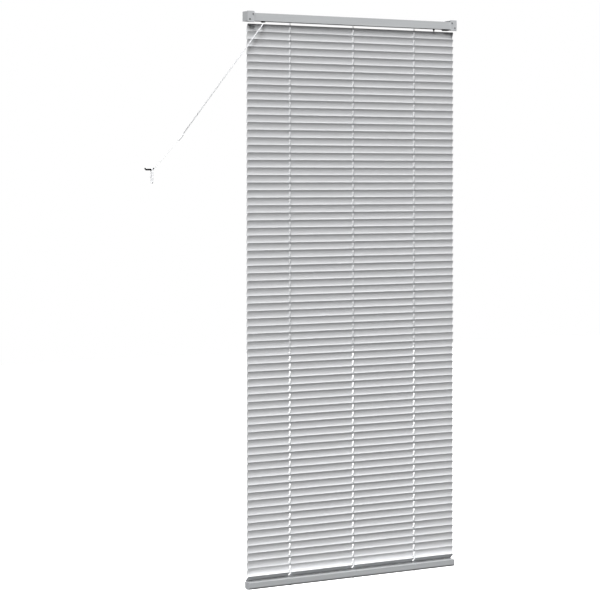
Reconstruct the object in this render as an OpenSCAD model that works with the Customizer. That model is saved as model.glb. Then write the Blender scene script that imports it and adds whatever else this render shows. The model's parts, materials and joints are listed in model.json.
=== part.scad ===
// Aluminium venetian blind on two box brackets, with a cord lock, a worm tilter and a wall cleat.
// X runs along the headrail, -Y faces the room and +Y the wall, +Z is up.
// The origin is on the wall plane, midway between the brackets' four rear screw holes.

/* [Blind] */
// Width over the two brackets
blind_w = 700; // [560:10:900]
// Number of slats, the resting bottom one included
slat_count = 74; // [40:1:90]
// Upper slats that are separate nodes, each on its own hinge
hinged_slats = 32; // [2:1:32]
// Distance from the wall to the slats' middle plane
slat_plane = 15; // [14.8:0.1:16]

/* [Slats] */
// Width of a slat
slat_w = 25; // [24:0.5:25]
// Thickness of the slat strip
slat_t = 0.2; // [0.18:0.01:0.3]
// Height of the slat's crown above its chord
slat_crown = 1.5; // [1:0.1:1.8]
// Spacing of the slats
slat_pitch = 21; // [20:0.5:22]
// Tilt of the closed slats, front edge up
slat_tilt = 75; // [70:1:76]
// Tilt of the bottom slat, which rests on the bottom rail
resting_tilt = 40; // [35:1:45]
// Height of the first slat's axis below the origin
first_slat_drop = 32; // [31:0.5:34]

/* [Headrail] */
// Depth of the headrail
head_d = 25; // [24:0.5:26]
// Height of the headrail
head_h = 22; // [21:0.5:23]
// Sheet thickness of the headrail
head_t = 0.6; // [0.5:0.1:0.8]
// Width of each rolled lip
head_lip = 3; // [2:0.5:4]

/* [Brackets] */
// Width of a bracket along the headrail
bracket_w = 22; // [20:1:26]
// Height of a bracket
bracket_h = 27; // [26:0.5:28]
// Depth of a bracket from the wall
bracket_d = 28.5; // [28.5:0.5:31]
// Sheet thickness of a bracket and its door
bracket_t = 1; // [0.8:0.1:1]
// Diameter of the screw holes
screw_hole_d = 4.5; // [4:0.1:5]
// Spacing of a bracket's two rear holes
screw_spacing = 12; // [11:1:13]

/* [Ladders and cords] */
// Distance of the outer ladders from the middle
ladder_x = 208; // [180:1:230]
// Diameter of a ladder's side cord
ladder_cord_d = 0.7; // [0.5:0.1:0.8]
// Diameter of a lift cord and of each pull strand
lift_cord_d = 0.9; // [0.8:0.1:1.2]
// Diameter of the single pull cord
pull_cord_d = 1.4; // [1.2:0.1:1.6]

/* [Bottom rail] */
// Depth of the bottom rail
bottom_d = 25; // [23:0.5:26]
// Height of the bottom rail
bottom_h = 21; // [18:0.5:23]
// Wall thickness of the bottom rail
bottom_t = 0.8; // [0.6:0.1:1]

/* [Cleat] */
// Distance of the cleat from the blind's middle, to the left
cleat_x = 643; // [600:1:680]
// Height of the cleat's bar below the origin
cleat_drop = 426; // [380:1:480]

/* [Hidden] */
$fn = 48;
eps = 0.01;

slat_names = [for (i = [1:hinged_slats]) str("slat_", i < 10 ? "0" : "", i)];

// Colours of the finishes
silver = [0.74, 0.75, 0.76];
zinc = [0.66, 0.67, 0.69];
black_plastic = [0.08, 0.08, 0.09];
white_plastic = [0.9, 0.9, 0.9];
grey_plastic = [0.55, 0.56, 0.58];
cord_white = [0.93, 0.93, 0.94];

// Brackets and headrail
bracket_gap = 1;
head_len = blind_w - 2 * bracket_t - bracket_gap;
head_floor = -bracket_h / 2 + bracket_t + 0.1;
head_y = -slat_plane - head_d / 2;
pin_r = 0.75;
knuckle_r = 1.5;
knuckle_l = 6;
pin_y = -bracket_d - 0.4;
pin_z = -bracket_h / 2 - knuckle_r;
door_gap = 0.15;
notch_gap = 0.25;
pin_head_r = pin_r + 0.35;
running_gap = 0.05;
dimple_d = 3;

// Slats
slat_len = blind_w - 10;
slat_corner = 3;
slat_r = (slat_w * slat_w / 4 + slat_crown * slat_crown) / (2 * slat_crown);
slat_balance = slat_crown * 2 / 3;
route_l = 14;
route_w = 4;
resting_axis = -first_slat_drop - (slat_count - 2) * slat_pitch - 17;
function slat_z(i) = -first_slat_drop - (i - 1) * slat_pitch;
ladder_places = [-ladder_x, 0, ladder_x];

// Tilt gear, all on the rod's axis at the height of the origin
rod_flats = 5;
rod_from = -blind_w / 2 + 28;
rod_to = blind_w / 2 - 60;
drum_r = 5;
drum_l = 8;
hub_r = 3.6;
hub_l = 3;
cradle_l = 18;
cradle_w = 16;
cradle_base = 1.1;
tilter_x = blind_w / 2 - 76;
wheel_r = 4.4;
wheel_l = 6;
wheel_teeth = 20;
worm_r = 2.4;
worm_core_r = 1.7;
worm_y = -slat_plane - wheel_r - worm_r - 0.15;
worm_neck_r = 1.5;
eye_r = 2.2;
eye_z = head_floor - 5.6;
eye_top = eye_z + eye_r / 2 + 0.2;

// Cord lock
lock_x = -blind_w / 2 + 53;
lock_l = 24;
lock_w = 16;
lock_floor = head_floor + head_t + 0.1;
lock_top = -3.9;
roller_r = 2.2;
roller_end_r = 1.2;
roller_rest = [-3.5, -7.4];
roller_travel = 2.5;
roller_slope = 31;

// Lift cords, one above the other where they run along the headrail
lift_levels = [-9.6, -8.2, -6.8];
lift_bend = 2.4;

// Ladder side cords at rest: offset from the slats' plane, top and bottom
front_cord_y = -4.85;
front_cord_top = -16;
rear_cord_y = 3;
rear_cord_top = -42;
front_cord_end = slat_z(hinged_slats) - 12.2;
rear_cord_end = slat_z(hinged_slats) - 15.5;
ladder_joint = 0.5;
front_cord_foot = resting_axis + 33;
rear_cord_foot = resting_axis - 1;

// Bottom rail
rail_len = blind_w - 12;
rail_top = resting_axis - slat_w / 2 * sin(resting_tilt) - 1.2;
rail_top_r = 2;
rail_low_r = 7;
cap_l = 2.5;
plug_r = 3;
eyelet_r = 1.8;
eyelet_drop = 12;

// Cleat, with its bar along X
stem_w = 9;
stem_h = 4.6;
stem_front = -15.4;
screw_x = 2.4;
screw_r = 1.3;
bar_r = 2;
bar_half = 10;
bar_y = -13;
horn_l = 4;
horn_rise = 45;

// Free cords: round route points, from the lock to the joiner and on to the cleat
strand_route = [[-298, -23, -11], [-298, -23, -13.5], [-298.5, -24, -16.5], [-300.5, -26.5, -20],
                [-303.5, -29, -24], [-308, -30.8, -29], [-314, -31, -36], [-545, -20.5, -329]];
strand_steps = [[1.5, 0, 0], [1.5, 0, 0], [1.5, 0, 0], [1.4, 0, -0.7],
                [1.3, 0, -1], [1.3, 0, -1], [1.3, 0, -1], [1.3, 0, -1]];
pull_route = [[-559, -19.5, -347], [-622, -18, -414], [-627, -17.8, -419.5], [-630.5, -17.6, -424],
              [-632.6, -17.5, -427.5]];
joiner_from = [-545, -20.5, -329];
joiner_to = [-559, -19.5, -347];
joiner_r = 3;
hank_x = -635.6;
hank_t = 4.6;
hank_w = 10.4;
hank_top = -422.6;
hank_h = 41;
tail_route = [[-638.7, -17.5, -430], [-639.8, -17.5, -431.5], [-640.5, -17.5, -434.5],
              [-640.5, -17.5, -446]];
knot_r = 1.8;
cord_sides = 8;

module along(from, to) {
    span = to - from;
    heading = atan2(span[1], span[0]);
    drop = acos(span[2] / norm(span));
    translate(from) rotate([0, drop, heading]) children();
}

// A tube of straight stages through the route's points, with a ring at each point
function unit(v) = v / norm(v);
function route_dir(p, i) =
    unit(p[min(i + 1, len(p) - 1)] - p[max(i - 1, 0)]);
function ring_side(t) = unit(cross(t, [0, 1, 0]));
module cord_tube(route, d) {
    rings = [for (i = [0:len(route) - 1])
        let (t = route_dir(route, i), u = ring_side(t), v = cross(t, u))
        for (k = [0:cord_sides - 1])
            route[i] + d / 2 * (cos(k * 360 / cord_sides) * u + sin(k * 360 / cord_sides) * v)];
    last = (len(route) - 1) * cord_sides;
    walls = [for (i = [0:len(route) - 2]) for (k = [0:cord_sides - 1])
        let (a = i * cord_sides, n = (k + 1) % cord_sides)
        [a + k, a + cord_sides + k, a + cord_sides + n, a + n]];
    near_end = [for (k = [0:cord_sides - 1]) k];
    far_end = [for (k = [cord_sides - 1:-1:0]) last + k];
    polyhedron(points = rings, faces = concat(walls, [near_end, far_end]), convexity = 4);
}

module box(from, to) {
    translate(from) cube(to - from);
}

module rod_x(r, from, to) {
    translate([from, 0, 0]) rotate([0, 90, 0]) cylinder(r = r, h = to - from);
}

module rod_y(r, from, to) {
    translate([0, from, 0]) rotate([-90, 0, 0]) cylinder(r = r, h = to - from);
}

// Rectangle with round corners, centred
module round_rect(w, h, r) {
    square([w - 2 * r, h], center = true);
    square([w, h - 2 * r], center = true);
    for (x = [-1, 1]) for (y = [-1, 1])
        translate([x * (w / 2 - r), y * (h / 2 - r)]) circle(r = r);
}

// Headrail: U channel with lips rolled inwards, its floor slotted for the cords
module headrail_section() {
    difference() {
        square([head_d, head_h]);
        translate([head_t, head_t]) square([head_d - 2 * head_t, head_h - 2 * head_t]);
        translate([head_lip, head_h - head_t - eps]) square([head_d - 2 * head_lip, head_t + 1]);
    }
    for (y = [head_lip - head_t, head_d - head_lip])
        translate([y, head_h - 2.6]) square([head_t, 2.6]);
}

module headrail() {
    color(silver) difference() {
        translate([head_len / 2, head_y, head_floor]) rotate([90, 0, -90])
            linear_extrude(head_len) mirror([1, 0]) headrail_section();
        for (x = ladder_places) box([x - 5, -slat_plane - 9, head_floor - 1], [x + 5, -slat_plane + 9, -11]);
        box([lock_x - 6, -slat_plane - 11, head_floor - 1], [lock_x + 6, -slat_plane - 4, -11]);
        translate([tilter_x, worm_y, head_floor - 1]) cylinder(r = 3.5, h = 3);
    }
}

// Box bracket with its open side towards -X; side is 1 for the right end and -1 for the left
module bracket(side) {
    inner = blind_w / 2 - bracket_w;
    outer = blind_w / 2;
    half = bracket_h / 2;
    hole_x = (inner + outer) / 2;
    module shell() {
        difference() {
            box([inner, -bracket_d, -half], [outer, 0, half]);
            box([inner - 1, -bracket_d - 1, bracket_t - half],
                [outer - bracket_t, -bracket_t, half - bracket_t]);
            for (z = [-1, 1]) translate([hole_x, 0, z * screw_spacing / 2])
                rod_y(screw_hole_d / 2, -bracket_t - 1, 1);
            for (y = [-8, -20]) translate([hole_x, y, 0]) cylinder(d = screw_hole_d, h = bracket_h);
        }
    }
    module knuckle() {
        difference() {
            union() {
                translate([hole_x, pin_y, pin_z]) rod_x(knuckle_r, -knuckle_l / 2, knuckle_l / 2);
                box([hole_x - knuckle_l / 2, pin_y, pin_z],
                    [hole_x + knuckle_l / 2, 4 - bracket_d, 0.1 - half]);
            }
            translate([hole_x, pin_y, pin_z]) rod_x(pin_r + running_gap, -knuckle_l, knuckle_l);
            box([hole_x - knuckle_l, -bracket_d, -bracket_h],
                [hole_x + knuckle_l, 5 - bracket_d, -half - bracket_t]);
        }
    }
    mirror([side < 0 ? 1 : 0, 0, 0]) {
        shell();
        knuckle();
    }
}

module bracket_left() {
    color(zinc) bracket(-1);
}

module bracket_right() {
    color(zinc) bracket(1);
}

// Front door of a bracket, hinged at the bottom and snapped over the top
module door(side) {
    inner = blind_w / 2 - bracket_w;
    outer = blind_w / 2;
    mid = (inner + outer) / 2;
    front = -bracket_d - door_gap - bracket_t;
    top = bracket_h / 2 + door_gap;
    knuckle_from = knuckle_l / 2 + 0.2;
    module leaf() {
        difference() {
            union() {
                box([inner, front, -bracket_h / 2 - 0.3], [outer, front + bracket_t, top + bracket_t]);
                box([inner, front, top], [outer, front + 4, top + bracket_t]);
            }
            translate([inner + 5, 0, 6]) rod_y(dimple_d / 2, front - 1, front + 2);
            translate([outer - 7, 0, -8]) rod_y(dimple_d / 2, front - 1, front + 2);
            box([mid - knuckle_from, front - 1, -bracket_h],
                [mid + knuckle_from, front + 3, notch_gap - bracket_h / 2]);
        }
    }
    module knuckles() {
        for (s = [-1, 1]) difference() {
            union() {
                translate([mid + s * (knuckle_from + knuckle_l / 2), pin_y, pin_z])
                    rod_x(knuckle_r, -knuckle_l / 2, knuckle_l / 2);
                box([mid + s * (knuckle_from + knuckle_l / 2) - knuckle_l / 2, front, pin_z],
                    [mid + s * (knuckle_from + knuckle_l / 2) + knuckle_l / 2, front + bracket_t,
                     -bracket_h / 2]);
            }
            translate([mid, pin_y, pin_z]) rod_x(pin_r + running_gap, -bracket_w, bracket_w);
        }
    }
    mirror([side < 0 ? 1 : 0, 0, 0]) {
        leaf();
        knuckles();
    }
}

module door_left() {
    color(zinc) door(-1);
}

module door_right() {
    color(zinc) door(1);
}

// Hinge pins of the doors, with a flat head at the outer end
module door_pins() {
    mid = blind_w / 2 - bracket_w / 2;
    reach = knuckle_l * 1.5 + 0.4;
    color(silver) for (s = [0, 1]) mirror([s, 0, 0]) translate([mid, pin_y, pin_z]) {
        rod_x(pin_r, -reach, reach);
        rod_x(pin_head_r, reach, reach + 0.6);
    }
}

// Slat section: an arc strip with its crown up, set so that its balance is on the hinge axis
module slat_section() {
    intersection() {
        translate([0, slat_crown - slat_r - slat_balance]) difference() {
            circle(r = slat_r, $fn = 360);
            circle(r = slat_r - slat_t, $fn = 360);
        }
        translate([-slat_w, -slat_crown * 2]) square([2 * slat_w, slat_crown * 4]);
    }
}

module slat(tilt) {
    rotate([-tilt, 0, 0]) intersection() {
        rotate([90, 0, 90]) translate([0, 0, -slat_len / 2]) linear_extrude(slat_len) slat_section();
        translate([0, 0, -5]) linear_extrude(10) difference() {
            round_rect(slat_len, slat_w, slat_corner);
            for (x = ladder_places) translate([x, 0]) {
                square([route_w, route_l - route_w], center = true);
                for (s = [-1, 1]) translate([0, s * (route_l - route_w) / 2]) circle(d = route_w);
            }
        }
    }
}

module hinged_slat(i) {
    color(silver) translate([0, -slat_plane, slat_z(i)]) slat(slat_tilt);
}

module lower_slats() {
    color(silver) {
        for (i = [hinged_slats + 1:slat_count - 1]) translate([0, -slat_plane, slat_z(i)]) slat(slat_tilt);
        translate([0, -slat_plane, resting_axis]) slat(resting_tilt);
    }
}

// Hexagonal rod that carries the drums and the worm wheel
module hex_x(flats, from, to) {
    translate([from, 0, 0]) rotate([0, 90, 0]) cylinder(r = flats / sqrt(3), h = to - from, $fn = 6);
}

module tilt_rod() {
    color(zinc) translate([0, -slat_plane, 0]) hex_x(rod_flats, rod_from, rod_to);
}

module tilt_drums() {
    color(white_plastic) for (x = ladder_places) translate([x, -slat_plane, 0]) difference() {
        union() {
            rod_x(drum_r - 1, -drum_l / 2, drum_l / 2);
            for (s = [-1, 1]) translate([s * (drum_l / 2 - 0.5), 0, 0]) rod_x(drum_r, -0.5, 0.5);
            rod_x(hub_r, -drum_l / 2 - hub_l, drum_l / 2 + hub_l);
        }
        hex_x(rod_flats + 0.1, -drum_l, drum_l);
    }
}

// Cradles that sit on the headrail's floor and carry the drums' hubs in open forks
module cradles() {
    floor_z = head_floor + head_t + 0.05;
    wall_t = 2;
    wall_x = drum_l / 2 + 0.4;
    color(white_plastic) for (x = ladder_places) translate([x, -slat_plane, 0]) difference() {
        union() {
            box([-cradle_l / 2, -cradle_w / 2, floor_z], [cradle_l / 2, cradle_w / 2, floor_z + cradle_base]);
            for (s = [0, 1]) mirror([s, 0, 0])
                box([wall_x, -cradle_w / 2, floor_z], [wall_x + wall_t, cradle_w / 2, 5]);
        }
        rod_x(hub_r + running_gap, -cradle_l, cradle_l);
        box([-cradle_l, -hub_r, 0], [cradle_l, hub_r, 6]);
        box([-cradle_l, -1.5, -10.5], [cradle_l, 1.5, -5.6]);
        box([-4, -7, floor_z - 1], [4, 7, floor_z + 2]);
    }
}

// Worm wheel on the rod, and the worm in front of it with its eye below the headrail
module tilter_gear() {
    tooth = 360 / wheel_teeth;
    color(white_plastic) translate([tilter_x, -slat_plane, 0]) difference() {
        rotate([0, 90, 0]) linear_extrude(wheel_l, center = true) polygon([
            for (i = [0:wheel_teeth - 1]) for (c = [[0.1, -0.9], [0.35, 0], [0.65, 0], [0.9, -0.9]])
                (wheel_r + c[1]) * [cos((i + c[0]) * tooth), sin((i + c[0]) * tooth)]]);
        hex_x(rod_flats + 0.1, -wheel_l, wheel_l);
    }
}

module tilter_worm() {
    thread_pitch = 1.4;
    color(black_plastic) translate([tilter_x, worm_y, 0]) {
        translate([0, 0, -8]) cylinder(r = worm_core_r, h = 14);
        for (i = [-4:4]) translate([0, 0, i * thread_pitch - 0.3]) cylinder(r = worm_r, h = 0.6);
        translate([0, 0, eye_top]) cylinder(r = worm_neck_r, h = 1 - 8 - eye_top);
        difference() {
            translate([0, 0, eye_z]) rod_x(eye_r, -1, 1);
            translate([0, 0, eye_z]) rod_x(eye_r / 2, -2, 2);
        }
    }
}

// Tilter housing: an open box that holds the worm between its floor and its roof
module tilter_housing() {
    low = head_floor + head_t + 0.05;
    half_l = 8;
    wall = 1.2;
    front = -slat_plane - 11.6;
    back = -slat_plane + 8;
    color(white_plastic) translate([tilter_x, 0, 0]) difference() {
        box([-half_l, front, low], [half_l, back, 6.8]);
        box([wall - half_l, front + wall, low + wall], [half_l - wall, back - wall, 8]);
        translate([0, worm_y, -20]) cylinder(r = worm_neck_r + running_gap, h = 16);
        translate([0, -slat_plane, 0]) rod_x(3.4, -half_l - 1, half_l + 1);
        box([-half_l - 1, -slat_plane - 3.4, 0], [half_l + 1, -slat_plane + 3.4, 8]);
    }
}

// Cord lock housing with a slanted slot for its roller and a snout through the headrail's floor
module roller_slot(r) {
    step = roller_travel + 0.2;
    for (k = [0, 1]) translate([roller_rest[0] + k * step * cos(roller_slope), 0,
                                roller_rest[1] + k * step * sin(roller_slope)])
        rod_y(r, -lock_w, lock_w);
    translate([roller_rest[0], 0, roller_rest[1]]) rotate([0, -roller_slope, 0])
        box([0, -lock_w, -r], [step, lock_w, r]);
}

module cord_lock() {
    half_l = lock_l / 2;
    half_w = lock_w / 2;
    wall = 1.6;
    snout_from = -slat_plane - 10.5;
    color(black_plastic) translate([lock_x, 0, 0]) difference() {
        union() {
            box([-half_l, -slat_plane - half_w, lock_floor], [half_l, -slat_plane + half_w, lock_top]);
            box([-5.5, snout_from, head_floor - 3.4], [5.5, -slat_plane - 4.6, lock_floor + eps]);
        }
        box([wall - half_l, wall - slat_plane - half_w, lock_floor + 1.4],
            [half_l + 1, half_w - wall - slat_plane, 0]);
        translate([0, -slat_plane, 0]) roller_slot(roller_end_r + running_gap);
        box([-3.5, -slat_plane - 9.4, -20], [3.5, -slat_plane - 5.6, lock_floor + 2]);
    }
}

module lock_roller() {
    color(zinc) translate([lock_x + roller_rest[0], -slat_plane, roller_rest[1]]) {
        rod_y(roller_r, -5.8, 5.8);
        rod_y(roller_end_r, -7.8, 7.8);
    }
}

// Lift cords: up through the slats, round a bend inside the cradle, and along to the cord lock
module lift_cord(x, level) {
    r = lift_cord_d / 2;
    foot = rail_top + 0.3;
    stop = lock_x + 2;
    translate([x, -slat_plane, foot]) cylinder(r = r, h = level - lift_bend - foot);
    translate([x - lift_bend, -slat_plane, level - lift_bend]) rotate([90, 0, 0])
        rotate_extrude(angle = 90) translate([lift_bend, 0]) circle(r = r);
    translate([0, -slat_plane, level]) rod_x(r, stop, x - lift_bend);
}

module lift_cords() {
    color(cord_white) for (i = [0:2]) lift_cord(ladder_places[i], lift_levels[i]);
}

// Side cords of the ladders: those of the hinged slats, and the lower stretch that stays still
module side_cords(y, top, end) {
    for (x = ladder_places) translate([x, -slat_plane + y, end]) cylinder(d = ladder_cord_d, h = top - end);
}

module ladder_front() {
    color(cord_white) side_cords(front_cord_y, front_cord_top, front_cord_end);
}

module ladder_rear() {
    color(cord_white) side_cords(rear_cord_y, rear_cord_top, rear_cord_end);
}

module ladder_lower() {
    color(cord_white) {
        side_cords(front_cord_y, front_cord_end - ladder_joint, front_cord_foot);
        side_cords(rear_cord_y, rear_cord_end - ladder_joint, rear_cord_foot);
    }
}

// Bottom rail: a closed tube, its lower corners well rounded, with a plug at each end
module rail_section(inset) {
    half_w = bottom_d / 2 - inset;
    half_h = bottom_h / 2 - inset;
    top_r = rail_top_r - inset;
    low_r = rail_low_r - inset;
    translate([-half_w, low_r - half_h]) square([2 * half_w, 2 * half_h - low_r - top_r]);
    translate([top_r - half_w, -half_h + low_r]) square([2 * (half_w - top_r), 2 * half_h - low_r]);
    translate([low_r - half_w, -half_h]) square([2 * (half_w - low_r), half_h]);
    for (s = [-1, 1]) {
        translate([s * (half_w - top_r), half_h - top_r]) circle(r = top_r);
        translate([s * (half_w - low_r), low_r - half_h]) circle(r = low_r);
    }
}

module rail_tube(from, to, inset) {
    translate([from, -slat_plane, rail_top - bottom_h / 2]) rotate([90, 0, 90])
        linear_extrude(to - from) rail_section(inset);
}

module bottom_rail() {
    reach = rail_len / 2 - cap_l;
    color(silver) difference() {
        rail_tube(-reach, reach, 0);
        rail_tube(-reach - 1, reach + 1, bottom_t);
        for (x = ladder_places) translate([x, -slat_plane, rail_top - bottom_h]) {
            translate([0, 0, -1]) cylinder(r = plug_r + running_gap, h = 3);
            translate([0, 0, eyelet_drop - 3]) rod_y(eyelet_r / 2 + running_gap, -bottom_d, 0);
        }
    }
}

module rail_end_caps() {
    cap_fit = bottom_t + 0.15;
    color(grey_plastic) for (s = [0, 1]) mirror([s, 0, 0]) {
        rail_tube(rail_len / 2 - cap_l, rail_len / 2, 0);
        rail_tube(rail_len / 2 - cap_l - 8, rail_len / 2 - cap_l + eps, cap_fit);
    }
}

// A plug under the rail and an eyelet in its front for each ladder's ends
module ladder_clips() {
    color(grey_plastic) for (x = ladder_places) translate([x, -slat_plane, rail_top - bottom_h]) {
        translate([0, 0, -1]) cylinder(r = plug_r + 2, h = 0.95);
        translate([0, 0, -1]) cylinder(r = plug_r, h = 4);
        translate([0, 0, eyelet_drop - 3]) {
            rod_y(eyelet_r, -bottom_d / 2 - 0.8, -bottom_d / 2 - 0.05);
            rod_y(eyelet_r / 2, -bottom_d / 2 - 0.8, -bottom_d / 2 + 2);
        }
    }
}

// Wall cleat: a stem drilled for two screws, and a round bar whose ends turn up as horns
module cleat_bar(r) {
    translate([-cleat_x, bar_y, -cleat_drop]) {
        rod_x(r, -bar_half, bar_half);
        for (s = [-1, 1]) translate([s * bar_half, 0, 0]) {
            sphere(r = r);
            rotate([0, s * (90 - horn_rise), 0]) {
                cylinder(r = r, h = horn_l);
                translate([0, 0, horn_l]) sphere(r = r);
            }
        }
    }
}

module cleat() {
    color(black_plastic) difference() {
        union() {
            translate([-cleat_x, 0, -cleat_drop])
                box([-stem_w / 2, stem_front, -stem_h / 2], [stem_w / 2, 0, stem_h / 2]);
            cleat_bar(bar_r);
        }
        for (s = [-1, 1]) translate([s * screw_x - cleat_x, 0, -cleat_drop]) {
            rod_y(screw_r, stem_front - 1, 1);
            rod_y(screw_r + 0.7, stem_front - 1, stem_front + 1.5);
        }
    }
}

// Free cords, from the lock's snout to the joiner, the cleat and the hank that hangs on it
module pull_strands() {
    color(cord_white) for (i = [-1:1])
        cord_tube([for (k = [0:len(strand_route) - 1]) strand_route[k] + i * strand_steps[k]], lift_cord_d);
}

module cord_joiner() {
    color(white_plastic) along(joiner_from, joiner_to)
        cylinder(r = joiner_r, h = norm(joiner_to - joiner_from));
}

module pull_cord() {
    color(cord_white) cord_tube(pull_route, pull_cord_d);
}

module cord_hank() {
    color(cord_white) difference() {
        translate([hank_x, bar_y, hank_top - hank_h / 2]) rotate([90, 0, 90])
            linear_extrude(hank_t, center = true) round_rect(hank_w, hank_h, hank_w / 2 - eps);
        translate([hank_x, bar_y, -cleat_drop]) rod_x(bar_r + 0.3, -hank_t, hank_t);
    }
}

module cord_tail() {
    color(cord_white) {
        cord_tube(tail_route, pull_cord_d);
        translate(tail_route[len(tail_route) - 1]) sphere(r = knot_r);
    }
}

headrail();
bracket_left();
bracket_right();
door_left();
door_right();
door_pins();
tilter_housing();
tilter_worm();
tilter_gear();
tilt_rod();
tilt_drums();
cradles();
cord_lock();
lock_roller();
lift_cords();
ladder_front();
ladder_rear();
ladder_lower();
bottom_rail();
rail_end_caps();
ladder_clips();
cleat();
pull_strands();
cord_joiner();
pull_cord();
cord_hank();
cord_tail();
lower_slats();
for (i = [1:hinged_slats]) hinged_slat(i);
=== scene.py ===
import json
import math

import bmesh
import bpy
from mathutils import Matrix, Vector


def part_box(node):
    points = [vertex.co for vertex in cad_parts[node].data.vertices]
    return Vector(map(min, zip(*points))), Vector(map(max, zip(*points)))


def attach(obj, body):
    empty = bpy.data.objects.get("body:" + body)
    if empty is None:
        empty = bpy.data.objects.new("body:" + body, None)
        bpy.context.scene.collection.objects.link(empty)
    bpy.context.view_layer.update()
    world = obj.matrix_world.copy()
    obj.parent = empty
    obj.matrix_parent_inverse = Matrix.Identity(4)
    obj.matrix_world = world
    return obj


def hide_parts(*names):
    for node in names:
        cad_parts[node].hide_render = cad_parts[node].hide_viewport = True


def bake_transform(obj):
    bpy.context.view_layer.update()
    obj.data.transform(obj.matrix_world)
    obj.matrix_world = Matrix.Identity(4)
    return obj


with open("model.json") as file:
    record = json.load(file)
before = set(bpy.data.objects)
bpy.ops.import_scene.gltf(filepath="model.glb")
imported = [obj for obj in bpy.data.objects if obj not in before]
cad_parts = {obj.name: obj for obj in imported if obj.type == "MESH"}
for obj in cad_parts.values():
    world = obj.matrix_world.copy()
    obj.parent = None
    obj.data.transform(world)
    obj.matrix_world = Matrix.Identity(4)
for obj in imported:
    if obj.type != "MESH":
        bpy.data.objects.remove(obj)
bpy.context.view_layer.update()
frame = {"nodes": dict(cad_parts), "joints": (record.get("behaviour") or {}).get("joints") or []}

# The viewpoint: a long lens to the left of the blind, level, above the middle of its height.
# The view is shifted down: upright edges stay upright, and the rails run away to the right.
camera_data = bpy.data.cameras.new("camera")
camera_data.lens = 119.1
camera_data.sensor_width = 36.0
camera_data.shift_y = -0.205
camera_data.clip_start = 0.1
camera_data.clip_end = 60.0
camera = bpy.data.objects.new("camera", camera_data)
bpy.context.collection.objects.link(camera)
camera.location = (-2.971, -4.859, -0.446)
camera.rotation_mode = "QUATERNION"
camera.rotation_quaternion = Vector((0.5, 0.866, 0.0)).to_track_quat("-Z", "Y")
bpy.context.scene.camera = camera
bpy.context.scene.view_settings.view_transform = "Standard"


# Pull cords: braided polyester, three thin strands from the cord lock to a moulded joiner.
# One thicker cord goes on from the joiner to the cleat, where its spare length hangs in loops.
# The route points are in millimetres; the strands bunch together more than their solids do.
STRAND = 0.0009
CORD = 0.0014
CORD_SIDES = 10
BUNCHING = 0.7
strand_route = [(-298, -23, -11), (-298, -23, -13.5), (-298.5, -24, -16.5), (-300.5, -26.5, -20),
                (-303.5, -29, -24), (-308, -30.8, -29), (-314, -31, -36), (-545, -20.5, -329)]
strand_steps = [(1.5, 0, 0)] * 3 + [(1.4, 0, -0.7)] + [(1.3, 0, -1)] * 4
pull_route = [(-559, -19.5, -347), (-622, -18, -414), (-627, -17.8, -419.5), (-630.5, -17.6, -424)]


def millimetres(point):
    return Vector(point) * 0.001


def linear(hex_colour):
    """An sRGB colour such as "c8cacd" as the linear values that a shader takes."""
    channels = [int(hex_colour[i:i + 2], 16) / 255 for i in (0, 2, 4)]
    return [c / 12.92 if c <= 0.04045 else ((c + 0.055) / 1.055) ** 2.4 for c in channels] + [1.0]


def add_node(tree, kind, inputs=None, **settings):
    """Adds a node, sets its properties, and sets or links its inputs by name or place."""
    made = tree.nodes.new("ShaderNode" + kind)
    for key, value in settings.items():
        setattr(made, key, value)
    for key, value in (inputs or {}).items():
        if isinstance(value, bpy.types.NodeSocket):
            tree.links.new(value, made.inputs[key])
        else:
            made.inputs[key].default_value = value
    return made


def new_material(name, **sockets):
    """A material with one Principled shader, its fixed values set on the shader's own sockets."""
    material = bpy.data.materials.new(name)
    material.use_nodes = True
    shader = material.node_tree.nodes["Principled BSDF"]
    for key, value in sockets.items():
        shader.inputs[key.replace("_", " ")].default_value = value
    return material, material.node_tree, shader


def rounded_line(points, cut, steps=6):
    """Straight runs through the points, with each corner cut back by that distance and rounded."""
    line = [points[0]]
    for before, corner, after in zip(points, points[1:], points[2:]):
        reach = min(cut, (before - corner).length / 2, (after - corner).length / 2)
        near = corner + (before - corner).normalized() * reach
        far = corner + (after - corner).normalized() * reach
        for k in range(steps + 1):
            t = k / steps
            line.append(near * (1 - t) ** 2 + corner * (2 * t * (1 - t)) + far * t ** 2)
    return line + [points[-1]]


def sweep(mesh_data, line, radius, sides, uv_layer, radius_at=None):
    """Adds a closed tube round a line to a bmesh; its map runs in metres along and around it."""
    side = None
    rings, travelled = [], [0.0]
    for i, here in enumerate(line):
        ahead = (line[min(i + 1, len(line) - 1)] - line[max(i - 1, 0)]).normalized()
        if side is None:
            side = ahead.orthogonal().normalized()
        side = (side - ahead * side.dot(ahead)).normalized()
        over = ahead.cross(side)
        r = radius_at(i) if radius_at else radius
        turns = [math.tau * k / sides for k in range(sides)]
        rings.append([mesh_data.verts.new(here + r * (math.cos(a) * side + math.sin(a) * over))
                      for a in turns])
        if i:
            travelled.append(travelled[-1] + (here - line[i - 1]).length)
    girth = math.tau * radius
    for i in range(len(rings) - 1):
        for k in range(sides):
            n = (k + 1) % sides
            face = mesh_data.faces.new((rings[i][k], rings[i][n], rings[i + 1][n], rings[i + 1][k]))
            face.smooth = True
            spots = [(i, k), (i, k + 1), (i + 1, k + 1), (i + 1, k)]
            for loop, (row, column) in zip(face.loops, spots):
                loop[uv_layer].uv = (travelled[row], girth * column / sides)
    mesh_data.faces.new(reversed(rings[0]))
    mesh_data.faces.new(rings[-1])


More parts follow.
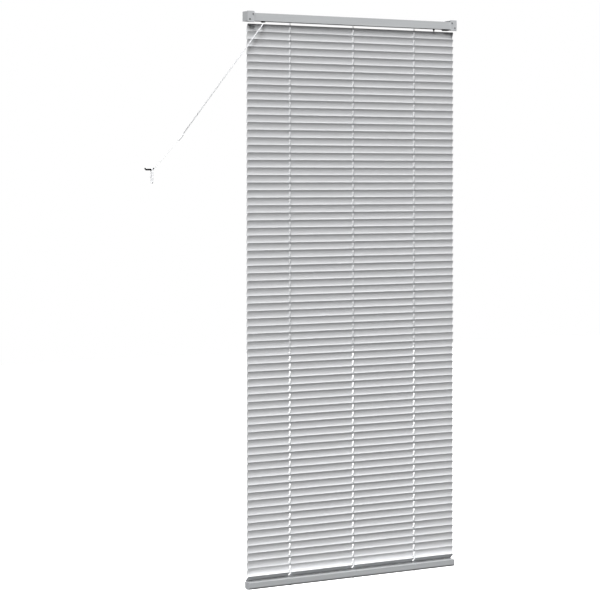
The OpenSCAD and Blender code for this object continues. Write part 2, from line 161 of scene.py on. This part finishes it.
def tubes(name, lines, diameter, sides=CORD_SIDES, radius_at=None):
    """One object of one or more closed tubes."""
    work = bmesh.new()
    uv_layer = work.loops.layers.uv.new("length")
    for line in lines:
        sweep(work, line, diameter / 2, sides, uv_layer, radius_at)
    mesh = bpy.data.meshes.new(name)
    work.to_mesh(mesh)
    work.free()
    made = bpy.data.objects.new(name, mesh)
    bpy.context.collection.objects.link(made)
    return made


# At scale 1 a wave texture has about 3.2 bands in each metre of the map.
WAVE_BANDS = 3.2
YARN_LEAN = math.radians(35)


def braid(name, colour, pitch):
    """Braided polyester cord: two sets of yarns that cross, which makes a fine diamond relief."""
    material, tree, shader = new_material(name, Roughness=0.75, IOR=1.55, Sheen_Weight=0.25,
                                          Sheen_Roughness=0.5)
    along = add_node(tree, "UVMap", uv_map="length")
    yarns = []
    for lean in (1, -1):
        turned = add_node(tree, "Mapping", {"Vector": along.outputs["UV"],
                                            "Rotation": (0, 0, lean * YARN_LEAN)})
        wave = add_node(tree, "TexWave", {"Vector": turned.outputs[0],
                                          "Scale": 1 / pitch / WAVE_BANDS,
                                          "Distortion": 0.6, "Detail": 1.0})
        yarns.append(wave.outputs["Fac"])
    crossed = add_node(tree, "Math", {0: yarns[0], 1: yarns[1]}, operation="MAXIMUM")
    tint = add_node(tree, "MixRGB", {"Fac": crossed.outputs[0], "Color1": linear(colour[0]),
                                     "Color2": linear(colour[1])})
    relief = add_node(tree, "Bump", {"Height": crossed.outputs[0], "Distance": 0.0002,
                                     "Strength": 0.6})
    tree.links.new(tint.outputs[0], shader.inputs["Base Color"])
    tree.links.new(relief.outputs[0], shader.inputs["Normal"])
    return material


# The yarns are 0.5 mm apart on the real cord; they are drawn 1.2 mm apart so that they show.
cord_braid = braid("braided_polyester", ("b0b2b5", "e6e7e9"), 0.0012)

STRAND_BEND = 0.003
for i in (-1, 0, 1):
    line = rounded_line([millimetres(p) + i * BUNCHING * millimetres(s)
                         for p, s in zip(strand_route, strand_steps)], STRAND_BEND)
    strand = tubes(f"pull_strand_{i + 2}", [line], STRAND)
    strand.data.materials.append(cord_braid)
    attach(strand, "root")
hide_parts("pull_strands")

# The spare cord hangs over the cleat's bar in two loops, and its knotted end hangs beside them.
LOOP_R = 0.0045
LOOP_STEP = 0.0015
LOOPS = 2
ARC_STEPS = 10
RUN_STEPS = 6
hank_low, hank_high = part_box("cord_hank")
loop_y = (hank_low[1] + hank_high[1]) / 2
loop_top = hank_high[2] - CORD / 2 - LOOP_R
loop_foot = hank_low[2] + CORD / 2 + LOOP_R
loop_x = hank_high[0] - CORD / 2
rise = loop_foot - loop_top
wound = []
for turn in range(LOOPS):
    x0 = loop_x - turn * LOOP_STEP
    for k in range(RUN_STEPS):
        wound.append(Vector((x0, loop_y - LOOP_R, loop_top + rise * k / RUN_STEPS)))
    for k in range(ARC_STEPS):
        a = math.pi * k / ARC_STEPS
        wound.append(Vector((x0 - LOOP_STEP * 0.25 * k / ARC_STEPS, loop_y - LOOP_R * math.cos(a),
                             loop_foot - LOOP_R * math.sin(a))))
    for k in range(RUN_STEPS):
        x1 = x0 - LOOP_STEP * (0.25 + 0.5 * k / RUN_STEPS)
        wound.append(Vector((x1, loop_y + LOOP_R, loop_foot - rise * k / RUN_STEPS)))
    for k in range(ARC_STEPS):
        a = math.pi * k / ARC_STEPS
        wound.append(Vector((x0 - LOOP_STEP * (0.75 + 0.25 * k / ARC_STEPS),
                             loop_y + LOOP_R * math.cos(a), loop_top + LOOP_R * math.sin(a))))
tail_route = [(-637.2, -17.5, -429), (-638.7, -17.5, -430.5), (-640, -17.5, -433),
              (-640.5, -17.5, -437), (-640.5, -17.5, -446)]
wound += [millimetres(p) for p in tail_route[:-1]]
knot_at = millimetres(tail_route[-1])
CORD_BEND = 0.002
pull_line = rounded_line([*[millimetres(p) for p in pull_route], *wound[:2]], CORD_BEND)[:-1]
pull_line += wound[1:] + [knot_at]
pull_cord = tubes("pull_cord_run", [pull_line], CORD)
pull_cord.data.materials.append(cord_braid)
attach(pull_cord, "root")
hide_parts("pull_cord", "cord_hank", "cord_tail")

# Knot in the cord's free end: an overhand knot, drawn tight into a small trefoil.
KNOT_R = 0.0011
KNOT_CORD = CORD * 0.8
KNOT_STEPS = 48
knot_line = [knot_at + KNOT_R * Vector((0.5 * math.sin(a) + 0.9 * math.sin(2 * a),
                                        0.45 * math.sin(3 * a),
                                        0.5 * math.cos(a) - 0.9 * math.cos(2 * a)))
             for a in [math.tau * k / KNOT_STEPS for k in range(KNOT_STEPS - 1)]]
knot = tubes("cord_end_knot", [knot_line], KNOT_CORD)
knot.data.materials.append(cord_braid)
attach(knot, "root")

# Joiner: an acetal sleeve that takes the three strands at its top and the single cord at its foot.
# It is turned from rod, with a rounded shoulder, two grooves and a tapered nose.
# Its outline is the share of the length, and the radius in millimetres.
joiner_from, joiner_to = millimetres((-545, -20.5, -329)), millimetres((-559, -19.5, -347))
joiner_axis = (joiner_to - joiner_from).normalized()
joiner_length = (joiner_to - joiner_from).length
JOINER_D = 0.006
JOINER_OUTLINE = [(0.0, 1.6), (0.02, 2.4), (0.07, 2.9), (0.22, 3.0), (0.24, 2.6), (0.28, 2.6),
                  (0.30, 3.0), (0.36, 3.0), (0.38, 2.6), (0.42, 2.6), (0.44, 3.0), (0.7, 2.8),
                  (0.9, 2.1), (0.97, 1.6), (1.0, 1.1)]
TURNED_SIDES = 32
joiner_line = [joiner_from + joiner_axis * joiner_length * t for t, _ in JOINER_OUTLINE]
joiner = tubes("joiner_sleeve", [joiner_line], JOINER_D, TURNED_SIDES,
               radius_at=lambda i: JOINER_OUTLINE[i][1] * 0.001)


def moulded(name, colour, roughness, grain=0.0004, relief=0.00002):
    """Moulded plastic: an even colour with the faint mottle of a satin tool, and soft gloss."""
    material, tree, shader = new_material(name, IOR=1.48, Specular_IOR_Level=0.45)
    place = add_node(tree, "TexCoord")
    fine = add_node(tree, "TexNoise", {"Vector": place.outputs["Object"], "Scale": 1 / grain,
                                       "Detail": 3.0})
    broad = add_node(tree, "TexNoise", {"Vector": place.outputs["Object"], "Scale": 60.0,
                                        "Detail": 2.0})
    tint = add_node(tree, "MixRGB", {"Fac": broad.outputs["Fac"], "Color1": linear(colour[0]),
                                     "Color2": linear(colour[1])})
    gloss = add_node(tree, "MapRange", {"Value": fine.outputs["Fac"], "To Min": roughness - 0.07,
                                        "To Max": roughness + 0.07})
    bump = add_node(tree, "Bump", {"Height": fine.outputs["Fac"], "Distance": relief,
                                   "Strength": 0.5})
    tree.links.new(tint.outputs[0], shader.inputs["Base Color"])
    tree.links.new(gloss.outputs[0], shader.inputs["Roughness"])
    tree.links.new(bump.outputs[0], shader.inputs["Normal"])
    return material


dark_acetal = moulded("black_acetal", ("101113", "1a1b1e"), 0.42)
white_acetal = moulded("white_acetal", ("dcdddf", "eceded"), 0.45)
grey_polypropylene = moulded("grey_polypropylene", ("9a9c9f", "a8aaad"), 0.5)
joiner.data.materials.append(white_acetal)
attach(joiner, "root")
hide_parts("cord_joiner")


# Headrail: a roll-formed steel channel with a satin silver stove enamel, baked on the flat strip.
# The enamel has a very fine metallic grain and a slight orange-peel, and soft reflections.
def assign(material, *names):
    """Gives carried-over nodes their finish, in each of their material slots."""
    for name in names:
        owner = bpy.data.objects[name]
        if not owner.data.materials:
            owner.data.materials.append(material)
        for place in range(len(owner.data.materials)):
            owner.data.materials[place] = material


def enamel(name, colour, roughness, metallic, flake=0.0006, peel=0.004, streak=None):
    """Metallic stove enamel on strip: fine flake, a slight peel, and a faint grain of rolling."""
    material, tree, shader = new_material(name, Metallic=metallic, Coat_Weight=0.15,
                                          Coat_Roughness=0.25)
    place = add_node(tree, "TexCoord")
    flakes = add_node(tree, "TexNoise", {"Vector": place.outputs["Object"], "Scale": 1 / flake,
                                         "Detail": 2.0})
    stretched = add_node(tree, "Mapping", {"Vector": place.outputs["Object"],
                                           "Scale": streak or (4.0, 260.0, 260.0)})
    rolled = add_node(tree, "TexNoise", {"Vector": stretched.outputs[0], "Scale": 1.0,
                                         "Detail": 4.0})
    mixed = add_node(tree, "Math", {0: rolled.outputs["Fac"], 1: flakes.outputs["Fac"]},
                     operation="MULTIPLY")
    spread = add_node(tree, "MapRange", {"Value": mixed.outputs[0], "From Min": 0.1,
                                         "From Max": 0.45})
    tint = add_node(tree, "MixRGB", {"Fac": spread.outputs[0], "Color1": linear(colour[0]),
                                     "Color2": linear(colour[1])})
    gloss = add_node(tree, "MapRange", {"Value": rolled.outputs["Fac"], "To Min": roughness - 0.05,
                                        "To Max": roughness + 0.05})
    waves = add_node(tree, "TexNoise", {"Vector": place.outputs["Object"], "Scale": 1 / peel})
    bump = add_node(tree, "Bump", {"Height": waves.outputs["Fac"], "Distance": 0.00004,
                                   "Strength": 0.3})
    tree.links.new(tint.outputs[0], shader.inputs["Base Color"])
    tree.links.new(gloss.outputs[0], shader.inputs["Roughness"])
    tree.links.new(bump.outputs[0], shader.inputs["Normal"])
    return material


rail_enamel = enamel("rail_stove_enamel", ("acaeb0", "b8babb"), 0.42, 0.1)
assign(rail_enamel, "headrail")

# Bottom rail: a roll-formed steel tube with rounded lower corners, closed at each end by a cap.
# Its enamel is the headrail's, painted a shade darker: painted shade for its rounded front, which
# faces down.
# It hangs level below the resting slat.
shaded_foot_enamel = enamel("bottom_rail_enamel_painted_shade", ("9a9c9e", "a6a8a9"), 0.42, 0.1)
assign(shaded_foot_enamel, "bottom_rail")

# Brackets and doors: pressed steel with the same enamel, a little duller, and a plated hinge pin.
# They are blanked and folded, so their grain runs up and down instead of along the rail.
UPRIGHT_GRAIN = (260.0, 260.0, 6.0)
bracket_enamel = enamel("bracket_enamel", ("b0b2b4", "bcbec0"), 0.45, 0.15, streak=UPRIGHT_GRAIN)
assign(bracket_enamel, "bracket_left", "bracket_right", "door_left", "door_right")


def plated(name, colour, roughness):
    """Zinc plate on drawn steel: a cool grey metal with fine draw lines along X."""
    material, tree, shader = new_material(name, Metallic=1.0)
    place = add_node(tree, "TexCoord")
    stretched = add_node(tree, "Mapping", {"Vector": place.outputs["Object"],
                                           "Scale": (12.0, 900.0, 900.0)})
    lines = add_node(tree, "TexNoise", {"Vector": stretched.outputs[0], "Scale": 1.0,
                                        "Detail": 4.0})
    tint = add_node(tree, "MixRGB", {"Fac": lines.outputs["Fac"], "Color1": linear(colour[0]),
                                     "Color2": linear(colour[1])})
    gloss = add_node(tree, "MapRange", {"Value": lines.outputs["Fac"], "To Min": roughness - 0.08,
                                        "To Max": roughness + 0.08})
    bump = add_node(tree, "Bump", {"Height": lines.outputs["Fac"], "Distance": 0.00002,
                                   "Strength": 0.4})
    tree.links.new(tint.outputs[0], shader.inputs["Base Color"])
    tree.links.new(gloss.outputs[0], shader.inputs["Roughness"])
    tree.links.new(bump.outputs[0], shader.inputs["Normal"])
    return material


zinc_plate = plated("zinc_plate", ("8f9296", "b3b6ba"), 0.34)
assign(zinc_plate, "door_pins", "tilt_rod", "lock_roller")

# Door rivets: black moulded push rivets with low domed heads, in the two holes of each door.
# They swing with the door. Their outline is the depth in metres and the radius in millimetres.
RIVET_HEAD_D = 0.004
RIVET_SIDES = 24
RIVET_PLACES = ((0.333, 0.006), (0.343, -0.008))
RIVET_OUTLINE = [(0.0009, 1.0), (0.0, 1.35), (0.0, 1.9), (-0.00015, 2.0), (-0.0003, 1.75),
                 (-0.00045, 1.2), (-0.0005, 0.5)]
for body, side in (("door_left", -1), ("door_right", 1)):
    face_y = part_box(body)[0][1]
    lines = [[Vector((side * x, face_y + depth, z)) for depth, _ in RIVET_OUTLINE]
             for x, z in RIVET_PLACES]
    rivets = tubes(body + "_rivets", lines, RIVET_HEAD_D, RIVET_SIDES,
                   radius_at=lambda i: RIVET_OUTLINE[i][1] * 0.001)
    rivets.data.materials.append(dark_acetal)
    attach(rivets, body)

# Tilter, drums and cradles: moulded acetal, white where they are hidden in the headrail.
# The worm with its eye, the cord lock and the wall cleat are of the same plastic in black.
assign(white_acetal, "tilter_housing", "tilter_gear", "tilt_drums", "cradles")
assign(dark_acetal, "tilter_worm", "cord_lock", "cleat")

# Wand collar: a moulded black skirt on the worm's neck, under the hole in the headrail's floor.
# It turns with the worm, above the eye that the wand hooks into.
COLLAR_D = 0.0064
COLLAR_OUTLINE = [(-0.0127, 2.2), (-0.0129, 2.9), (-0.0133, 3.2), (-0.0146, 3.2), (-0.0152, 2.8),
                  (-0.0160, 2.0), (-0.0163, 1.6)]
worm_low, worm_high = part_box("tilter_worm")
worm_x, worm_y = (worm_low[0] + worm_high[0]) / 2, (worm_low[1] + worm_high[1]) / 2
collar_line = [Vector((worm_x, worm_y, z)) for z, _ in COLLAR_OUTLINE]
collar = tubes("wand_collar", [collar_line], COLLAR_D, TURNED_SIDES,
               radius_at=lambda i: COLLAR_OUTLINE[i][1] * 0.001)
collar.data.materials.append(dark_acetal)
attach(collar, "worm")

# Rail stop: a moulded black clip under the headrail, which keeps it from sliding in its bracket.
# It has a thick body with round corners and a thumb rib across its front.
STOP_ROUND = 0.0004
STOP_LOW, STOP_HIGH = Vector((0.3085, -0.0262, -0.0163)), Vector((0.3255, -0.0120, -0.01245))
RIB_LOW, RIB_HIGH = Vector((0.3120, -0.0268, -0.0155)), Vector((0.3220, -0.0258, -0.0134))
work = bmesh.new()
for low, high in ((STOP_LOW, STOP_HIGH), (RIB_LOW, RIB_HIGH)):
    block = bmesh.ops.create_cube(work, size=1.0)["verts"]
    for vert in block:
        vert.co = Vector([a + (b - a) * (c + 0.5) for a, b, c in zip(low, high, vert.co)])
    edges = list({edge for vert in block for edge in vert.link_edges})
    bmesh.ops.bevel(work, geom=edges, offset=STOP_ROUND, segments=3, profile=0.5, affect="EDGES")
stop_mesh = bpy.data.meshes.new("rail_stop")
work.to_mesh(stop_mesh)
work.free()
rail_stop = bpy.data.objects.new("rail_stop", stop_mesh)
bpy.context.collection.objects.link(rail_stop)
rail_stop.data.materials.append(dark_acetal)
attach(rail_stop, "root")

# Slats: aluminium strip 0.2 mm thick, coil coated in satin silver, then crowned and punched.
# The coating is smoother than the rails', so that each crown shows a broad soft highlight.
slat_names = sorted(n for n in frame["nodes"] if n.startswith("slat_"))
slat_enamel = enamel("slat_coil_coating", ("dadbdd", "e4e5e6"), 0.36, 0.1)
assign(slat_enamel, "lower_slats", *slat_names)

# Ladders: braided side cords in front of and behind the slats, tied to the drums at the top.
# Two fine yarns under each slat, the rungs, cross between the side cords, clear of the slat's hole.
SIDE_CORD = 0.0007
RUNG_YARN = 0.0004
RUNG_HALF = 0.0016
BEAD_RADIUS = 0.00052
BEAD_HALF = 0.0008
HINGE_REACH = 0.0146
LADDER_SIDES = {"front": (-0.00485, 1), "rear": (0.003, -1)}
ladder_braid = braid("ladder_braid", ("85888c", "b2b5b8"), 0.0009)

joint_at = {j["child"]: Vector(j["pos_m"]) for j in frame["joints"] if "pos_m" in j}
slat_axes = [joint_at[n] for n in slat_names]
slat_pitch = slat_axes[0].z - slat_axes[1].z
slat_plane = slat_axes[0].y
rail_low, rail_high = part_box("bottom_rail")
drum_low, drum_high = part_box("tilt_drums")
drum_length = 0.014
ladder_places = [drum_low[0] + drum_length / 2, 0.0, drum_high[0] - drum_length / 2]
lower_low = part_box("lower_slats")[0]
lower_first = slat_axes[-1].z - slat_pitch
lower_axes = []
while lower_first - len(lower_axes) * slat_pitch > lower_low[2] + 0.02:
    lower_axes.append(lower_first - len(lower_axes) * slat_pitch)


def rung_offset(side):
    """From a slat's axis to the point where a rung meets a side cord."""
    y, sign = LADDER_SIDES[side]
    return Vector((0, y, sign * math.sqrt(HINGE_REACH ** 2 - y ** 2)))


def side_cord(name, side, body, top, foot, axes, node):
    """The side cords of all three ladders between two heights, with a bead at each sewn-in rung."""
    y = slat_plane + LADDER_SIDES[side][0]
    beads = [z + rung_offset(side).z for z in axes]
    heights = [top, foot]
    for bead in beads:
        heights += [bead + BEAD_HALF * step for step in (1, 0.5, 0, -0.5, -1)]
    heights = sorted((h for h in heights if foot <= h <= top), reverse=True)

    def radius_at(i):
        away = min([abs(heights[i] - bead) for bead in beads] or [1])
        swell = max(0.0, 1 - away / BEAD_HALF)
        return SIDE_CORD / 2 + (BEAD_RADIUS - SIDE_CORD / 2) * math.sin(swell * math.pi / 2)

    lines = [[Vector((x, y, h)) for h in heights] for x in ladder_places]
    made = tubes(name, lines, SIDE_CORD, 8, radius_at)
    made.data.materials.append(ladder_braid)
    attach(made, body)
    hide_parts(node)
    return made


# The moving cords end beside the first slat that stays still; its static cords start 0.5 mm below.
JOINT_GAP = 0.0005
JOINT_DROP = 0.0012
CORD_FEET = {"front": 0.0355, "rear": 0.010}
upper_axes = [p.z for p in slat_axes]
for side in LADDER_SIDES:
    body = "ladder_" + side
    low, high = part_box(body)
    joint_z = lower_first + rung_offset(side).z - JOINT_DROP if side == "front" else low[2]
    side_cord(f"ladder_{side}_cords", side, body, high[2], joint_z, upper_axes, body)
    side_cord(f"ladder_{side}_lower_cords", side, "root", joint_z - JOINT_GAP,
              rail_high[2] + CORD_FEET[side], lower_axes, "ladder_lower")


# A rung's two yarns spread apart over this share of its length at each end.
SPREAD_OVER = 0.1


def rungs(name, axes_z, body, reach=1.0):
    """A pair of yarns under each slat of all three ladders; reach shortens their front ends."""
    lines = []
    for z in axes_z:
        centre = Vector((0, slat_plane, z))
        for x in ladder_places:
            for s in (-1, 1):
                shift = Vector((x + s * RUNG_HALF, 0, 0))
                near = centre + rung_offset("front") * reach
                far = centre + rung_offset("rear")
                lines.append([near + Vector((x, 0, 0)),
                              near * (1 - SPREAD_OVER) + far * SPREAD_OVER + shift,
                              near * SPREAD_OVER + far * (1 - SPREAD_OVER) + shift,
                              far + Vector((x, 0, 0))])
    made = tubes(name, lines, RUNG_YARN, 6)
    made.data.materials.append(ladder_braid)
    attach(made, body)


for name, axis in zip(slat_names, slat_axes):
    rungs("rungs_" + name, [axis.z], name)
# The first static rung stops short of the moving cord, clear of the slat that turns above it.
SHORT_REACH = 0.86
rungs("rungs_slat_33", lower_axes[:1], "root", SHORT_REACH)
rungs("rungs_lower", lower_axes[1:], "root")

# Top of each ladder: its side cords run up through the headrail's slot, between the drum's flanges.
# They are tied at the drum's middle, and run down to the moving ladder below.
TIE_SHIFT = 0.0025
WAIST_OUT = 0.0035
WAIST_DROP = 0.005
for side, (offset, sign) in LADDER_SIDES.items():
    top_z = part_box("ladder_" + side)[1][2]
    waist = Vector((TIE_SHIFT, slat_plane - sign * WAIST_OUT, -WAIST_DROP))
    lines = []
    for x in ladder_places:
        tie = Vector((x + TIE_SHIFT, slat_plane, 0))
        bend = Vector((x, 0, 0)) + waist
        end = Vector((x, slat_plane + offset, top_z))
        lines.append([tie.lerp(bend, k / 4) for k in range(4)]
                     + [bend.lerp(end, k / 14) for k in range(15)])
    top = tubes(f"ladder_{side}_top", lines, SIDE_CORD, 8)
    top.data.materials.append(ladder_braid)
    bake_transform(top)

# Foot of each ladder: the front cord comes over the resting slat's edge and down the rail's face.
# It ends in the eyelet; the rear cord goes down the rail's back and under it, into the plug.
FACE_GAP = 0.0005
EYELET_UP = 0.009
eyelet_z = rail_low[2] + EYELET_UP
front_y = slat_plane + LADDER_SIDES["front"][0]
rear_y = slat_plane + LADDER_SIDES["rear"][0]
lines = []
for x in ladder_places:
    front_face, rear_face = rail_low[1] - FACE_GAP, rail_high[1] + FACE_GAP
    lines.append([Vector((x, front_y, rail_high[2] + CORD_FEET["front"])),
                  Vector((x, slat_plane - 0.0092, rail_high[2] + 0.0225)),
                  Vector((x, slat_plane - 0.0112, rail_high[2] + 0.0165)),
                  Vector((x, front_face, rail_high[2] + 0.001)),
                  Vector((x, front_face, rail_high[2] - 0.004)),
                  Vector((x, front_face, eyelet_z))])
    lines.append([Vector((x, rear_y, rail_high[2] + CORD_FEET["rear"])),
                  Vector((x, slat_plane + 0.0094, rail_high[2] + 0.0030)),
                  Vector((x, rear_face, rail_high[2] - 0.0025)),
                  Vector((x, rear_face, rail_low[2] + 0.006)),
                  Vector((x, rear_face - 0.0035, rail_low[2] + 0.0010)),
                  Vector((x, rear_face - 0.0075, rail_low[2] - 0.0004)),
                  Vector((x, slat_plane + 0.0050, rail_low[2] - 0.0006))])
foot_ends = tubes("ladder_foot_ends", lines, SIDE_CORD, 8)
foot_ends.data.materials.append(ladder_braid)
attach(foot_ends, "root")

# Lift cords: braided polyester, up through the slats' holes from the bottom rail's plugs.
# Each turns inside its cradle and runs along the headrail to the cord lock, one above the other.
LIFT_LEVELS = (-0.0096, -0.0082, -0.0068)
LIFT_BEND = 0.0024
lift_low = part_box("lift_cords")[0]
lift_lines = []
for x, level in zip(ladder_places, LIFT_LEVELS):
    centre = Vector((x - LIFT_BEND, slat_plane, level - LIFT_BEND))
    turn = [centre + LIFT_BEND * Vector((math.cos(a), 0, math.sin(a)))
            for a in [math.radians(90) * k / 6 for k in range(7)]]
    lift_lines.append([Vector((x, slat_plane, lift_low[2])), *turn,
                       Vector((lift_low[0], slat_plane, level))])
lift_cords = tubes("lift_cord_runs", lift_lines, STRAND, 8)
lift_cords.data.materials.append(cord_braid)
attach(lift_cords, "root")
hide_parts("lift_cords")

# Bottom rail fittings: moulded polypropylene plugs, eyelets and end caps, pressed into the rail.
# They are the same grey throughout, a little darker than the rail's enamel.
assign(grey_polypropylene, "rail_end_caps", "ladder_clips")

# Setting: a plain white floor under the hanging blind, and a plain soft light from high in front.
# Each slat is darker at its upper edge, which faces down. A weaker lamp lights the back.
FLOOR_Z = -1.85
floor_mesh = bpy.data.meshes.new("floor")
floor_mesh.from_pydata([(-9, -6, FLOOR_Z), (9, -6, FLOOR_Z), (9, 9, FLOOR_Z), (-9, 9, FLOOR_Z)], [],
                       [(0, 1, 2, 3)])
floor = bpy.data.objects.new("floor", floor_mesh)
bpy.context.collection.objects.link(floor)
floor_paint, _, floor_shader = new_material("floor_paint", Roughness=0.9)
floor_shader.inputs["Base Color"].default_value = linear("f6f6f6")
floor_shader.inputs["Emission Color"].default_value = linear("ffffff")
floor_shader.inputs["Emission Strength"].default_value = 0.6
floor.data.materials.append(floor_paint)
floor.visible_diffuse = False
floor.visible_glossy = False

world = bpy.data.worlds.new("world")
bpy.context.scene.world = world
world.use_nodes = True
world_tree = world.node_tree
world_tree.nodes.clear()
ray = add_node(world_tree, "LightPath")
place = add_node(world_tree, "TexCoord")
height = add_node(world_tree, "SeparateXYZ", {0: place.outputs["Generated"]})
sky_shade = add_node(world_tree, "MapRange", {"Value": height.outputs["Z"], "From Min": -0.7,
                                              "From Max": 0.35, "To Min": 0.03, "To Max": 0.1})
seen = add_node(world_tree, "MixRGB", {"Fac": ray.outputs["Is Camera Ray"],
                                       "Color1": sky_shade.outputs[0],
                                       "Color2": (1.0, 1.0, 1.0, 1.0)})
sky = add_node(world_tree, "Background", {"Color": seen.outputs[0], "Strength": 1.0})
add_node(world_tree, "OutputWorld", {"Surface": sky.outputs[0]})


def lamp(name, towards, strength, spread):
    """A far soft lamp that shines in one direction; spread is how wide it looks, in degrees."""
    data = bpy.data.lights.new(name, "SUN")
    data.energy = strength
    data.angle = math.radians(spread)
    made = bpy.data.objects.new(name, data)
    bpy.context.collection.objects.link(made)
    made.rotation_mode = "QUATERNION"
    made.rotation_quaternion = Vector(towards).to_track_quat("-Z", "Y")


lamp("key", towards=(0.43, 0.51, -0.743), strength=7.2, spread=25)
lamp("back", towards=(-0.35, -0.75, -0.56), strength=2.0, spread=25)
